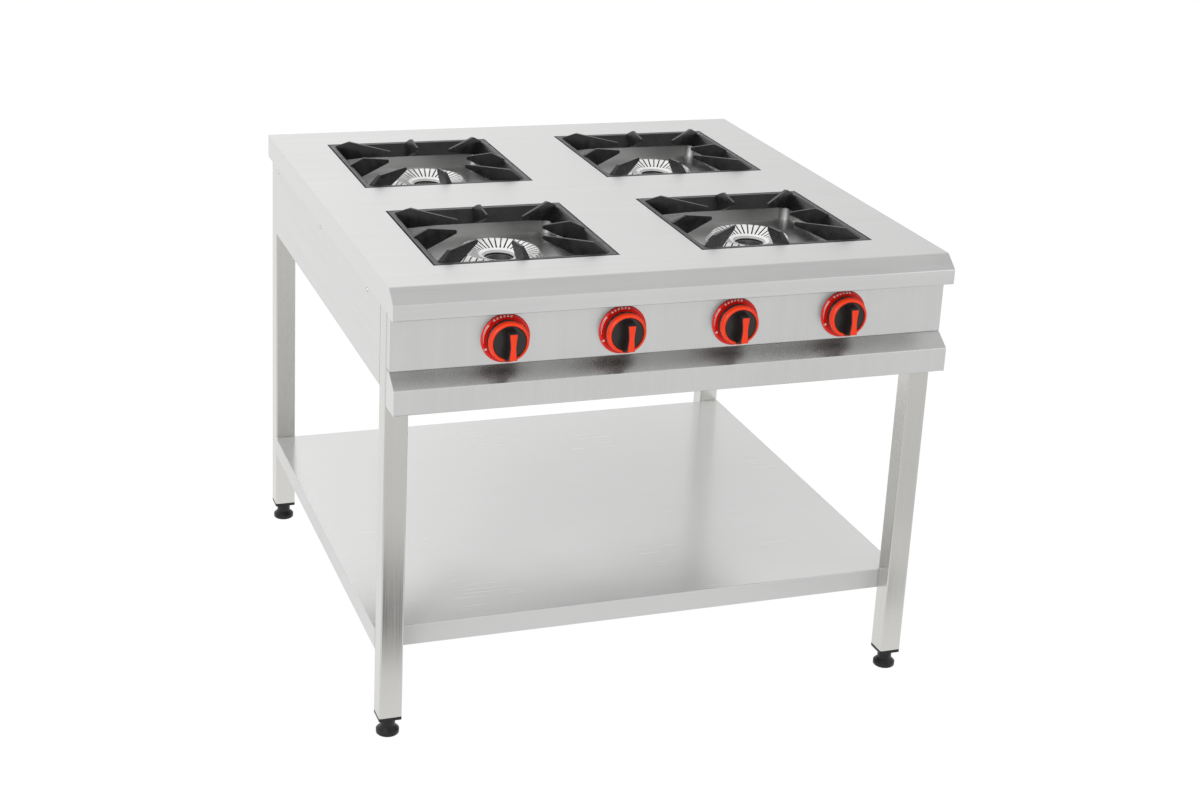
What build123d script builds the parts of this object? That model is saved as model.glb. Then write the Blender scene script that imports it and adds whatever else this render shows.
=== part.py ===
from build123d import *
import math
import os

# All sizes are in millimetres. X runs to the right, Y to the back and Z up.
# The floor under the feet is z = 0 and the middle of the outer box is x = 0, y = 0.

# Body
top_width = 1000.0
top_depth = 1000.0
height = 820.0
sheet = 1.5
knob_reach = 46.0
top_centre_y = knob_reach / 2
front_y = top_centre_y - top_depth / 2
rear_y = top_centre_y + top_depth / 2
top_under = height - sheet
seat_gap = 0.3
# How far cutting shapes run past the faces they cut.
past = 1.0

# Burner layout
opening = 326.0
side_margin = 99.0
end_margin = 97.0
burner_x = top_width / 2 - side_margin - opening / 2
burner_y = top_depth / 2 - end_margin - opening / 2
burner_spots = [
    ("front_left", -burner_x, top_centre_y - burner_y),
    ("front_right", burner_x, top_centre_y - burner_y),
    ("rear_left", -burner_x, top_centre_y + burner_y),
    ("rear_right", burner_x, top_centre_y + burner_y),
]
cross_half_x = burner_x + opening / 2
cross_half_y = burner_y + opening / 2
bar_half_x = burner_x - opening / 2
bar_half_y = burner_y - opening / 2
opening_flange = 10.0

# Front lip and side flanges of the worktop
lip_reach = 28.0
lip_drop = 22.0
lip_face = 27.0
flange_depth = 45.0
lip_radius = 8.0
fold_radius = 1.5

# Legs, caps and feet
tube = 40.0
tube_wall = 1.5
tube_corner = 3.0
tube_foot_z = 38.0
front_leg_setback = 20.0
rear_leg_setback = 32.0
leg_side_gap = sheet + seat_gap
leg_x = top_width / 2 - leg_side_gap - tube / 2
front_leg_y = front_y + front_leg_setback + tube / 2
rear_leg_y = rear_y - rear_leg_setback - tube / 2
leg_outer_x = leg_x + tube / 2
leg_inner_x = leg_x - tube / 2
cap_flange = 6.0
cap_plug = 20.0
cap_fit = 0.2
foot_disc = 40.0
foot_disc_height = 11.0
foot_cone = 4.0
foot_neck = 26.0
foot_rim = 3.0
stem_radius = 5.0
stem_fit = 0.3

# Side, back and front panels
panel_depth = 186.0
panel_return = 14.0
panel_bottom = height - panel_depth
control_end_gap = 3.0
control_half = top_width / 2 - control_end_gap
control_drop = 142.0
control_bottom = height - control_drop
control_top_gap = 2.5
apron_reach = 31.0
apron_slope = 23.0
apron_face = 43.0
apron_return = 14.0
apron_flange = 22.0
apron_gap = 1.0
apron_ledge_z = control_bottom - apron_slope
apron_bottom = apron_ledge_z - apron_face

# Screws in the side panels
screw_drop = 52.0
screw_hole = 1.8
screw_shank = 1.4
screw_head = 3.6
screw_dome = 1.5
screw_length = 6.0
screw_front_inset = 90.0
screw_middle_offset = 15.0
screw_rear_inset = 28.0
side_screw_z = height - screw_drop
side_screw_ys = [
    rear_leg_y - tube / 2 - screw_rear_inset,
    top_centre_y + screw_middle_offset,
    front_leg_y + tube / 2 + screw_front_inset,
]

# Lower shelf
shelf_top = 189.0
shelf_fold = 37.0
stiffener_hat = 22.0
stiffener_foot = 18.0
stiffener_depth = 22.0
stiffener_end_gap = 1.0

# Grate rails, drip trays and grates
rail_drop = 20.0
rail_ledge = 12.0
rail_overrun = 20.0
tray_sheet = 1.0
tray_side_gap = 2.0
tray_depth = 30.0
tray_draft = 4.0
tray_corner = 22.0
tray_rim_corner = 4.0
tray_hole = 74.0
tray_collar = 5.0
tray_seat_z = height - rail_drop
tray_floor_z = tray_seat_z - tray_depth
grate_gap = 3.0
grate_corner = 5.0
grate_rim = 8.0
grate_wall_drop = 22.0
grate_wall_lean = 20.0
grate_skin = 7.0
grate_shoulder_inset = 5.0
pocket_top_radius = 28.0
pocket_low_radius = 14.0
grate_seat_z = tray_seat_z + tray_sheet
grate_half = opening / 2 - grate_gap
grate_low_z = height - grate_wall_drop
finger_top = 14.0
finger_tip_top = 9.0
finger_tip_face = 6.0
finger_tip = 78.0
diagonal_tip = 84.0
finger_shoulder = 32.0
diagonal_shoulder = 46.0
finger_end = 3.0
diagonal_end = 16.0
finger_round = 1.5
finger_root_wide = 16.0
finger_tip_wide = 11.0
finger_lean = 7.0
finger_overrun = 8.0

# Burners
crown_rim_drop = 31.0
crown_rim_z = height - crown_rim_drop
crown_rim_radius = 69.5
crown_rim_flat = 3.5
crown_radius = 79.5
crown_skirt = 13.5
crown_foot = 1.5
crown_seat_z = crown_rim_z - crown_skirt
crown_hole = 25.6
crown_bevel = 4.0
crown_dish = 10.0
crown_wall = 4.0
crown_collar = 7.5
crown_spigot = 66.0
spigot_fit = 0.4
spigot_depth = 6.0
slot_count = 36
slot_width = 2.6
slot_start = 11.0
slot_floor = 2.5
base_flange = 72.0
base_foot = 38.0
base_wall = 5.0
base_tube_wall = 4.0
base_tube_drop = 3.0
base_depth = 66.5
base_bottom = crown_seat_z - base_depth
venturi_rise = 21.0
venturi_z = base_bottom + venturi_rise
venturi_radius = 15.0
venturi_bore = 11.5
venturi_length = 150.0
venturi_cap = 3.0
venturi_entry = 30.0
air_window = 22.0
injector_hole = 4.2
injector_fit = 0.4
injector_collar = 7.0
injector_length = 10.0
injector_nose = 7.0
bar_half = 15.0
bar_depth = 15.0

# Gas train
knob_drop = 98.0
knob_z = height - knob_drop
knob_side_inset = 195.5
knob_outer_x = top_width / 2 - knob_side_inset
knob_inner_x = knob_outer_x / 3
knob_xs = [-knob_outer_x, -knob_inner_x, knob_inner_x, knob_outer_x]
manifold_side = 20.0
manifold_setback = 43.0
manifold_y = front_y + manifold_setback
manifold_end_gap = 100.0
manifold_half = top_width / 2 - manifold_end_gap
manifold_wall = 2.0
valve_block = 24.0
valve_depth = 16.0
valve_boss = 11.0
plug_radius = 7.0
plug_fit = 0.05
plug_front = 9.0
plug_length = 18.0
plug_floor = 6.0
feed_radius = 3.0
feed_drop = 36.0
feed_z = knob_z - feed_drop
feed_bend = 8.0
feed_side_step = 8.0
feed_turn_step = 24.0
inlet_radius = 10.48
inlet_wall = 2.5
inlet_bend = 18.0
inlet_side_gap = 80.0
inlet_x = top_width / 2 - inlet_side_gap
inlet_end_gap = 5.0
inlet_end_y = rear_y - inlet_end_gap
inlet_nut = 16.0
inlet_nut_length = 6.0
inlet_panel_gap = 1.5

# Knobs
bezel_radius = 42.0
bezel_inner = 17.0
bezel_height = 4.0
bezel_bevel = 2.5
skirt_radius = 34.5
skirt_back = 8.0
skirt_front = 27.0
skirt_wall = 3.5
skirt_round = 2.5
dish_radius = 28.5
dish_depth = 2.0
hub_radius = 10.0
hub_back = 11.0
grip_top = 24.0
grip_top_front = 21.0
grip_bottom = 33.5
grip_bottom_front = 24.0
grip_waist = 6.0
grip_end = 8.0
grip_waist_y = -6.0
grip_root = 6.0
face_wall = 4.0
spindle_radius = 3.9
spindle_fit = 0.3
# Height of the spindle's flat above its middle, as a share of its radius.
spindle_flat = 0.6
spindle_reach = 15.0
spindle_root = 1.0
panel_hole = 6.0


def block(x0, x1, y0, y1, z0, z1):
    """A box given by its limits."""
    size = Box(x1 - x0, y1 - y0, z1 - z0)
    return Pos((x0 + x1) / 2, (y0 + y1) / 2, (z0 + z1) / 2) * size


def turned(points):
    """A ring or disc turned about the Z axis from (radius, height) points."""
    outline = make_face(Polyline(*[(r, 0, z) for r, z in points], close=True))
    return revolve(outline, Axis.Z)


def rod(radius, x, y, z0, z1):
    return Pos(x, y, (z0 + z1) / 2) * Cylinder(radius, z1 - z0)


def rod_back(radius, x, z, y0, y1):
    """A rod that lies along Y."""
    return Pos(x, (y0 + y1) / 2, z) * Rot(90, 0, 0) * Cylinder(radius, y1 - y0)


def folded(points, thickness, radii):
    """Cross-section of a folded sheet, with the sheet to the right of its outside line."""
    count = len(points)
    inner = []
    for i in range(count):
        before = Vector(*points[max(i - 1, 0)])
        here = Vector(*points[i])
        after = Vector(*points[min(i + 1, count - 1)])
        first = (here - before) if i > 0 else (after - here)
        second = (after - here) if i < count - 1 else (here - before)
        side_1 = Vector(first.Y, -first.X).normalized()
        side_2 = Vector(second.Y, -second.X).normalized()
        middle = (side_1 + side_2).normalized()
        step = thickness / middle.dot(side_1)
        inner.append((here.X + middle.X * step, here.Y + middle.Y * step))
    face = make_face(Polyline(*points, *reversed(inner), close=True)).face()
    for i in range(1, count - 1):
        before = Vector(*points[i - 1])
        here = Vector(*points[i])
        after = Vector(*points[i + 1])
        turn = (here - before).cross(after - here).Z
        outer_radius = radii[i - 1] + (thickness if turn < 0 else 0)
        inner_radius = radii[i - 1] + (0 if turn < 0 else thickness)
        for spot, radius in ((points[i], outer_radius), (inner[i], inner_radius)):
            corner = face.vertices().sort_by_distance(Vector(*spot))[0]
            face = face.fillet_2d(radius, [corner])
    return face


def along_x(face, half_length):
    """Extrude a (Y, Z) cross-section to both sides of the middle plane."""
    return extrude(Plane.YZ * face, half_length, both=True)


def mirrored(shape):
    return mirror(shape, Plane.YZ)


def tube_path(points, radius, bend, bore=0.0):
    """A round pipe bent along straight runs."""
    path = FilletPolyline(*points, radius=bend)
    section = Circle(radius) - Circle(bore) if bore else Circle(radius)
    start = Plane(origin=path @ 0, z_dir=path % 0)
    return sweep(start * section, path=path)


def side_plate(points, x_outer, thickness):
    """A flat plate in the Y, Z plane, with its outside face at +x_outer."""
    face = make_face(Polyline(*points, close=True))
    return Pos(x_outer - thickness, 0, 0) * extrude(Plane.YZ * face, thickness)


def worktop_frame():
    """The ring round the burners, with the front lip and the folded flanges."""
    half = top_width / 2
    ring = block(-half, half, front_y + lip_radius, rear_y, top_under, height)
    lip_y = front_y - lip_reach
    lip_bottom = height - lip_drop - lip_face
    lip_line = [
        (front_y, lip_bottom),
        (lip_y, lip_bottom),
        (lip_y, height - lip_drop),
        (front_y, height),
        (front_y + lip_radius, height),
    ]
    lip = along_x(folded(lip_line, sheet, [fold_radius, fold_radius, lip_radius]), half)
    end_line = [
        (rear_y, height - flange_depth),
        (rear_y, top_under),
        (front_y + lip_radius, top_under),
        (front_y, top_under - seat_gap),
        (lip_y + sheet / 2, height - lip_drop - sheet / 2),
        (lip_y + sheet / 2, lip_bottom + sheet / 2),
        (front_y, lip_bottom + sheet / 2),
        (front_y + lip_radius, height - flange_depth),
    ]
    end = side_plate(end_line, half, sheet)
    rear = block(-half, half, rear_y - sheet, rear_y, height - flange_depth, height)
    frame = ring + lip + end + mirrored(end) + rear
    frame -= block(
        -cross_half_x,
        cross_half_x,
        top_centre_y - cross_half_y,
        top_centre_y + cross_half_y,
        top_under - past,
        height + past,
    )
    for side in (-1, 1):
        for end_side in (-1, 1):
            edge = top_centre_y + end_side * cross_half_y
            frame += block(
                *sorted((side * bar_half_x, side * cross_half_x)),
                *sorted((edge, edge + end_side * sheet)),
                height - sheet - opening_flange,
                height - sheet / 2,
            )
    return frame


def worktop_cross():
    """The plus-shaped sheet between the four openings."""
    y0 = top_centre_y - cross_half_y
    y1 = top_centre_y + cross_half_y
    plus = block(-bar_half_x, bar_half_x, y0, y1, top_under, height)
    plus += block(
        -cross_half_x,
        cross_half_x,
        top_centre_y - bar_half_y,
        top_centre_y + bar_half_y,
        top_under,
        height,
    )
    for side in (-1, 1):
        for end_side in (-1, 1):
            edge = top_centre_y + end_side * bar_half_y
            plus += block(
                *sorted((side * bar_half_x, side * cross_half_x)),
                *sorted((edge, edge - end_side * sheet)),
                height - sheet - opening_flange,
                height - sheet / 2,
            )
    return plus


def side_panel():
    """Right-hand side sheet between the legs, with a fold along its lower edge."""
    y0 = front_leg_y + tube / 2
    y1 = rear_leg_y - tube / 2
    sheet_face = block(leg_outer_x - sheet, leg_outer_x, y0, y1, panel_bottom, top_under)
    fold = block(
        leg_outer_x - panel_return, leg_outer_x, y0, y1, panel_bottom, panel_bottom + sheet
    )
    panel = sheet_face + fold
    hole = Rot(0, 90, 0) * Cylinder(screw_hole, 4 * sheet)
    for y in side_screw_ys:
        panel -= Pos(leg_outer_x, y, side_screw_z) * hole
    return panel


def back_panel():
    y1 = rear_leg_y + tube / 2
    panel = block(-leg_inner_x, leg_inner_x, y1 - sheet, y1, panel_bottom, top_under)
    panel += block(
        -leg_inner_x, leg_inner_x, y1 - panel_return, y1, panel_bottom, panel_bottom + sheet
    )
    hole = inlet_radius + inlet_panel_gap
    panel -= rod_back(hole, inlet_x, knob_z, y1 - sheet - past, y1 + past)
    return panel


def control_panel():
    """The upright front sheet with a hole for each knob and a fold at each end."""
    top = top_under - control_top_gap
    panel = block(-control_half, control_half, front_y, front_y + sheet, control_bottom, top)
    leg_face = front_leg_y - tube / 2
    end = block(
        control_half - sheet, control_half, front_y, leg_face, control_bottom, top
    )
    panel += end + mirrored(end)
    for x in knob_xs:
        panel -= rod_back(panel_hole, x, knob_z, front_y - past, front_y + sheet + past)
    return panel


def front_apron():
    """The sloping ledge and upright apron under the knobs, closed at both ends."""
    flange_y = front_y + sheet
    apron_y = front_y - apron_reach
    line = [
        (apron_y + apron_return, apron_bottom),
        (apron_y, apron_bottom),
        (apron_y, apron_ledge_z),
        (flange_y, control_bottom - apron_gap),
        (flange_y, control_bottom + apron_flange),
    ]
    apron = along_x(folded(line, sheet, [fold_radius] * 3), control_half)
    leg_face = front_leg_y - tube / 2
    end_top = control_bottom - apron_gap - sheet / 3
    end_line = [
        (leg_face, apron_bottom),
        (leg_face, end_top),
        (flange_y + sheet / 2, end_top),
        (apron_y + sheet / 2, apron_ledge_z - sheet / 2),
        (apron_y + sheet / 2, apron_bottom),
    ]
    end = side_plate(end_line, control_half, sheet)
    notch = block(
        control_half - sheet,
        control_half + past,
        flange_y - past,
        flange_y + 3 * sheet,
        control_bottom - apron_gap / 2,
        control_bottom + apron_flange + past,
    )
    return apron - notch - mirrored(notch) + end + mirrored(end)


def leg(x, y):
    """Square tube with rounded corners, open at both ends."""
    outer = RectangleRounded(tube, tube, tube_corner)
    bore = tube - 2 * tube_wall
    inner = RectangleRounded(bore, bore, tube_corner - tube_wall)
    return Pos(x, y, tube_foot_z) * extrude(outer - inner, top_under - tube_foot_z)


def leg_cap(x, y):
    """Plastic plug that closes the tube and holds the foot's stem."""
    bore = tube - 2 * tube_wall
    flange = extrude(RectangleRounded(tube, tube, tube_corner), cap_flange)
    plug_side = bore - 2 * cap_fit
    plug_face = RectangleRounded(plug_side, plug_side, tube_corner - tube_wall)
    plug = Pos(0, 0, cap_flange) * extrude(plug_face, cap_plug)
    cap = Pos(x, y, tube_foot_z - cap_flange) * (flange + plug)
    return cap - rod(stem_radius + stem_fit, x, y, 0, tube_foot_z + cap_plug + past)


def foot(x, y):
    """Round screw-in foot: disc, neck and stem in one piece."""
    disc = foot_disc / 2
    neck = foot_neck / 2
    neck_top = tube_foot_z - cap_flange - seat_gap
    profile = [
        (0, 0),
        (disc - foot_rim / 2, 0),
        (disc, foot_rim / 2),
        (disc, foot_disc_height - foot_rim),
        (disc - foot_rim, foot_disc_height),
        (neck, foot_disc_height + foot_cone),
        (neck, neck_top),
        (stem_radius, neck_top),
        (stem_radius, tube_foot_z + cap_plug),
        (0, tube_foot_z + cap_plug),
    ]
    return Pos(x, y, 0) * turned(profile)


def lower_shelf():
    """Flat sheet between the legs with its four edges folded down."""
    y0 = front_leg_y + tube / 2
    y1 = rear_leg_y - tube / 2
    shelf_low = shelf_top - shelf_fold
    outer = block(-leg_outer_x, leg_outer_x, y0, y1, shelf_low, shelf_top)
    hollow = block(
        -leg_outer_x + sheet,
        leg_outer_x - sheet,
        y0 + sheet,
        y1 - sheet,
        shelf_low - past,
        shelf_top - sheet,
    )
    edges = outer.edges().filter_by(Axis.X).group_by(Axis.Z)[-1]
    shell = fillet(edges, fold_radius) - hollow
    lips = block(
        -leg_outer_x + sheet / 2,
        leg_outer_x - sheet / 2,
        y0 + sheet / 2,
        y1 - sheet / 2,
        shelf_low,
        shelf_low + sheet,
    )
    lips -= block(
        -leg_outer_x + panel_return,
        leg_outer_x - panel_return,
        y0 + panel_return,
        y1 - panel_return,
        shelf_low - past,
        shelf_low + sheet + past,
    )
    return shell + lips


def shelf_stiffener():
    """Hat-shaped bar under the middle of the shelf."""
    under = shelf_top - sheet
    wide = stiffener_hat + stiffener_foot
    line = [
        (-wide, under),
        (-stiffener_hat, under),
        (-stiffener_hat, under - stiffener_depth),
        (stiffener_hat, under - stiffener_depth),
        (stiffener_hat, under),
        (wide, under),
    ]
    outline = folded(line, sheet, [fold_radius] * 4)
    bar = along_x(outline, leg_outer_x - sheet - stiffener_end_gap)
    return Pos(0, top_centre_y, 0) * bar


def support_rail_side():
    """Right-hand angle rail that carries the outer edges of two drip trays."""
    y0 = top_centre_y - cross_half_y - rail_overrun
    y1 = top_centre_y + cross_half_y + rail_overrun
    low = tray_seat_z - sheet
    web = block(cross_half_x, cross_half_x + sheet, y0, y1, low, top_under)
    ledge = block(
        cross_half_x - rail_ledge, cross_half_x + sheet, y0, y1, low, tray_seat_z
    )
    return web + ledge


def support_rail_centre():
    """Hat rail under the middle bar, with a ledge to each side."""
    y0 = top_centre_y - cross_half_y - rail_overrun
    y1 = top_centre_y + cross_half_y + rail_overrun
    low = tray_seat_z - sheet
    rail = block(-bar_half_x, bar_half_x, y0, y1, top_under - sheet, top_under)
    side = block(bar_half_x - sheet, bar_half_x, y0, y1, low, top_under)
    side += block(
        bar_half_x - sheet, bar_half_x + rail_ledge, y0, y1, low, tray_seat_z
    )
    return rail + side + mirrored(side)


def burner_bar(y):
    """Channel across the body under one row of burners."""
    half = leg_outer_x - sheet
    low = base_bottom - bar_depth
    outer = block(-half, half, y - bar_half, y + bar_half, low, base_bottom)
    room = bar_half - sheet
    hollow = block(-half, half, y - room, y + room, low - past, base_bottom - sheet)
    return outer - hollow


def rounded_tub(half, corner, z0, z1):
    """A square block with rounded upright corners."""
    return Pos(0, 0, z0) * extrude(RectangleRounded(2 * half, 2 * half, corner), z1 - z0)


def leaning_tub(low_half, top_half, low_corner, top_corner, z0, z1):
    """A square block with rounded corners and sides that lean outwards or inwards."""
    low = Pos(0, 0, z0) * RectangleRounded(2 * low_half, 2 * low_half, low_corner)
    top = Pos(0, 0, z1) * RectangleRounded(2 * top_half, 2 * top_half, top_corner)
    return loft([low.face(), top.face()])


def drip_tray(x, y):
    """Square pan with leaning walls, a rim that hangs on the rails and a collared hole."""
    rim_z = tray_seat_z + tray_sheet
    wall = opening / 2 - rail_ledge - tray_side_gap
    room = wall - tray_sheet
    room_corner = tray_corner - tray_sheet
    pan = leaning_tub(
        wall - tray_draft, wall, tray_corner, tray_corner, tray_floor_z, rim_z
    )
    hollow = leaning_tub(
        room - tray_draft, room, room_corner, room_corner, tray_floor_z + tray_sheet, rim_z
    )
    rim = rounded_tub(opening / 2 - tray_side_gap, tray_rim_corner, tray_seat_z, rim_z)
    collar_z = tray_floor_z + tray_collar
    collar = rod(tray_hole + tray_sheet, 0, 0, tray_floor_z, collar_z)
    hole = rod(tray_hole, 0, 0, tray_floor_z - past, collar_z + past)
    return Pos(x, y, 0) * ((pan + rim - hollow) + collar - hole)


def finger(tip, shoulder, outer, wall_low):
    """One fin of the grate along +X, by the distances of its tip, shoulder and ends."""
    top = height + finger_top
    tip_top = height + finger_tip_top
    profile = make_face(
        Polyline(
            (outer, height - finger_round),
            (outer - 2 * finger_round, height + finger_round),
            (shoulder + finger_top / 2, top - 2 * finger_round),
            (shoulder, top),
            (tip + finger_round, tip_top),
            (tip, tip_top - finger_round),
            (tip, tip_top - finger_tip_face),
            (wall_low, grate_low_z),
            (wall_low + grate_skin, grate_low_z),
            (outer, height - finger_tip_face),
            close=True,
        )
    )
    blade = extrude(Plane.XZ * profile, finger_root_wide, both=True)
    plan = make_face(
        Polyline(
            (tip - finger_overrun, -finger_tip_wide / 2),
            (outer + finger_overrun, -finger_root_wide / 2),
            (outer + finger_overrun, finger_root_wide / 2),
            (tip - finger_overrun, finger_tip_wide / 2),
            close=True,
        )
    )
    tall = top + past - grate_low_z
    wedge = Pos(0, 0, grate_low_z) * extrude(plan, tall, taper=finger_lean)
    return blade & wedge


def grate():
    """Cast pan support: square rim, leaning inner walls and eight fins."""
    inner_top = grate_half - grate_rim
    inner_low = inner_top - grate_wall_lean
    rim = rounded_tub(grate_half, grate_corner, grate_seat_z, height)
    skirt = leaning_tub(
        inner_low + grate_skin,
        inner_top - grate_shoulder_inset,
        pocket_low_radius + grate_skin / 2,
        pocket_top_radius - grate_skin / 2,
        grate_low_z,
        grate_seat_z,
    )
    well = leaning_tub(
        inner_low, inner_top, pocket_low_radius, pocket_top_radius, grate_low_z, height
    )
    frame = rim + skirt - well
    slope = math.sqrt(2)
    straight = finger(
        finger_tip, grate_half - finger_shoulder, grate_half - finger_end, inner_low
    )
    slant = finger(
        diagonal_tip,
        slope * grate_half - diagonal_shoulder,
        slope * grate_half - diagonal_end,
        slope * inner_low - (slope - 1) * pocket_low_radius,
    )
    for quarter in range(4):
        frame += Rot(0, 0, 90 * quarter) * straight
        frame += Rot(0, 0, 90 * quarter + 45) * slant
    return frame


def burner_crown():
    """Dished flame ring with radial slots, an open middle and a collar round it."""
    seat = crown_seat_z
    spigot = crown_spigot - spigot_fit
    spigot_bore = spigot - crown_wall
    neck = crown_hole + crown_bevel
    dish_z = crown_rim_z - crown_dish
    profile = [
        (crown_hole, seat - crown_collar),
        (crown_hole, seat),
        (neck, dish_z),
        (crown_rim_radius - crown_rim_flat, crown_rim_z),
        (crown_rim_radius, crown_rim_z),
        (crown_radius, seat + crown_foot),
        (crown_radius, seat),
        (spigot, seat),
        (spigot, seat - spigot_depth),
        (spigot_bore, seat - spigot_depth),
        (spigot_bore, crown_rim_z - crown_wall),
        (neck + crown_wall, dish_z - crown_wall / 2),
        (neck, dish_z - crown_bevel),
        (neck, seat - crown_collar),
    ]
    crown = turned(profile)
    slot = block(
        crown_hole + slot_start,
        crown_radius + past,
        -slot_width / 2,
        slot_width / 2,
        seat + slot_floor,
        crown_rim_z + past,
    )
    for i in range(slot_count):
        crown -= Rot(0, 0, i * 360 / slot_count) * slot
    return crown


def burner_base(x, y):
    """Cast ring-shaped cup round an open tube, with its venturi to the front."""
    seat = crown_seat_z
    floor_z = base_bottom + base_wall
    tube_radius = crown_hole - spigot_fit
    tube_top = seat - base_tube_drop
    foot_edge = base_foot + base_wall
    belly = crown_spigot - base_wall
    outside = [
        (0, base_bottom),
        (base_foot, base_bottom),
        (foot_edge, base_bottom + base_wall),
        (belly, seat - 4 * base_wall),
        (base_flange, seat - 2 * base_wall),
        (base_flange, seat),
        (0, seat),
    ]
    hollow = [
        (tube_radius, floor_z),
        (base_foot, floor_z),
        (belly - base_wall, seat - 3.6 * base_wall),
        (crown_spigot, seat - 2 * base_wall),
        (crown_spigot, seat + past),
        (0, seat + past),
        (0, tube_top),
        (tube_radius, tube_top),
    ]
    mouth = -venturi_length
    inside = mouth + venturi_cap
    venturi = rod_back(venturi_radius, 0, venturi_z, mouth, -venturi_entry)
    bore = rod_back(venturi_bore, 0, venturi_z, inside, -venturi_entry)
    base = turned(outside) + venturi - turned(hollow) - bore
    base -= rod(tube_radius - base_tube_wall, 0, 0, base_bottom - past, tube_top + past)
    base -= rod_back(injector_hole, 0, venturi_z, mouth - past, inside + past)
    base -= block(
        -2 * venturi_radius,
        2 * venturi_radius,
        inside,
        inside + air_window,
        venturi_z - venturi_bore / 2,
        venturi_z + venturi_bore / 2,
    )
    return Pos(x, y, 0) * base


def injector(x, y):
    """Brass jet at the mouth of a venturi."""
    mouth = y - venturi_length
    collar = rod_back(injector_collar, x, venturi_z, mouth - injector_length, mouth)
    nose = rod_back(
        injector_hole - injector_fit, x, venturi_z, mouth, mouth + injector_nose
    )
    return collar + nose


def feed_pipe(valve_x, burner_at_x, burner_at_y):
    """Pipe from the underside of a valve to the back of its jet."""
    jet_y = burner_at_y - venturi_length - injector_length
    turn_y = jet_y - feed_turn_step
    valve_y = manifold_y - manifold_side / 2 - feed_side_step
    points = [
        (valve_x, valve_y, knob_z - valve_block / 2),
        (valve_x, valve_y, feed_z),
        (valve_x, turn_y, feed_z),
        (burner_at_x, turn_y, feed_z),
        (burner_at_x, turn_y, venturi_z),
        (burner_at_x, jet_y, venturi_z),
    ]
    return tube_path(points, feed_radius, feed_bend)


def gas_manifold():
    """Square supply tube across the front, closed at both ends."""
    half = manifold_side / 2
    outer = block(
        -manifold_half,
        manifold_half,
        manifold_y - half,
        manifold_y + half,
        knob_z - half,
        knob_z + half,
    )
    room = half - manifold_wall
    inner = block(
        -manifold_half + manifold_wall,
        manifold_half - manifold_wall,
        manifold_y - room,
        manifold_y + room,
        knob_z - room,
        knob_z + room,
    )
    return outer - inner


def inlet_pipe():
    """Supply pipe from the manifold's right end out through the back panel."""
    points = [
        (manifold_half, manifold_y, knob_z),
        (inlet_x, manifold_y, knob_z),
        (inlet_x, inlet_end_y, knob_z),
    ]
    bore = inlet_radius - inlet_wall
    pipe = tube_path(points, inlet_radius, inlet_bend, bore)
    nut_y = rear_leg_y + tube / 2 + inlet_nut_length
    nut_ring = RegularPolygon(inlet_nut, 6) - Circle(bore + inlet_wall / 2)
    nut = extrude(nut_ring, inlet_nut_length)
    return pipe + Pos(inlet_x, nut_y, knob_z) * Rot(90, 0, 0) * nut


def valve_body(x):
    """Tap body between the manifold and the control panel."""
    back = manifold_y - manifold_side / 2
    front = front_y + sheet
    side = valve_block / 2
    block_front = back - valve_depth
    body = block(x - side, x + side, block_front, back, knob_z - side, knob_z + side)
    body += rod_back(valve_boss, x, knob_z, front, block_front + plug_floor)
    bore_end = front_y + plug_front + plug_length + seat_gap
    return body - rod_back(plug_radius + plug_fit, x, knob_z, front - past, bore_end)


def spindle_section(radius):
    """Round shaft section with one flat."""
    flat = Pos(0, (1 + spindle_flat) * radius) * Rectangle(2 * radius, 2 * radius)
    return Circle(radius) - flat


def facing_front(x, y):
    """Placement whose local Z points to the front and whose local Y points up."""
    return Plane(origin=(x, y, knob_z), x_dir=(1, 0, 0), z_dir=(0, -1, 0))


def valve_plug(x):
    """The turning plug inside a tap, with a socket for the spindle."""
    back = facing_front(x, front_y + plug_front + plug_length)
    plug = extrude(Circle(plug_radius), plug_length)
    socket = extrude(spindle_section(spindle_radius + spindle_fit), plug_length)
    return back * (plug - Pos(0, 0, plug_floor) * socket)


def knob_bezel(x):
    """Flat dial ring fixed to the control panel behind a knob."""
    profile = [
        (bezel_inner, 0),
        (bezel_radius, 0),
        (bezel_radius, bezel_height - bezel_bevel),
        (bezel_radius - bezel_bevel, bezel_height),
        (bezel_inner, bezel_height),
    ]
    return facing_front(x, front_y) * turned(profile)


def grip_bar():
    """The raised grip of a knob in its own upright frame, pointer end down."""
    root = skirt_front - grip_root
    side = make_face(
        Polyline(
            (grip_top, root),
            (grip_top_front, knob_reach),
            (-grip_bottom_front, knob_reach),
            (-grip_bottom, skirt_front + past),
            (-grip_bottom, root),
            close=True,
        )
    )
    blade = extrude(Plane.YZ * side, 2 * grip_end, both=True)
    front = make_face(
        Polyline(
            (-grip_end, grip_top + past),
            (grip_end, grip_top + past),
            (grip_waist, grip_waist_y),
            (grip_end, -grip_bottom - past),
            (-grip_end, -grip_bottom - past),
            (-grip_waist, grip_waist_y),
            close=True,
        )
    )
    return blade & extrude(front, knob_reach + past)


def knob(x):
    """Skirted knob with a dished face, a grip bar and its spindle."""
    face_z = skirt_front - dish_depth
    profile = [
        (0, hub_back),
        (0, face_z),
        (dish_radius, face_z),
        (dish_radius + dish_depth / 4, skirt_front),
        (skirt_radius - skirt_round, skirt_front),
        (skirt_radius, skirt_front - skirt_round),
        (skirt_radius, skirt_back),
        (skirt_radius - skirt_wall, skirt_back),
        (skirt_radius - skirt_wall, face_z - face_wall),
        (hub_radius, face_z - face_wall),
        (hub_radius, hub_back),
    ]
    body = turned(profile) + grip_bar()
    root = hub_back + spindle_root
    spindle = extrude(spindle_section(spindle_radius), -root - spindle_reach)
    return facing_front(x, front_y) * (body + Pos(0, 0, root) * spindle)


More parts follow.
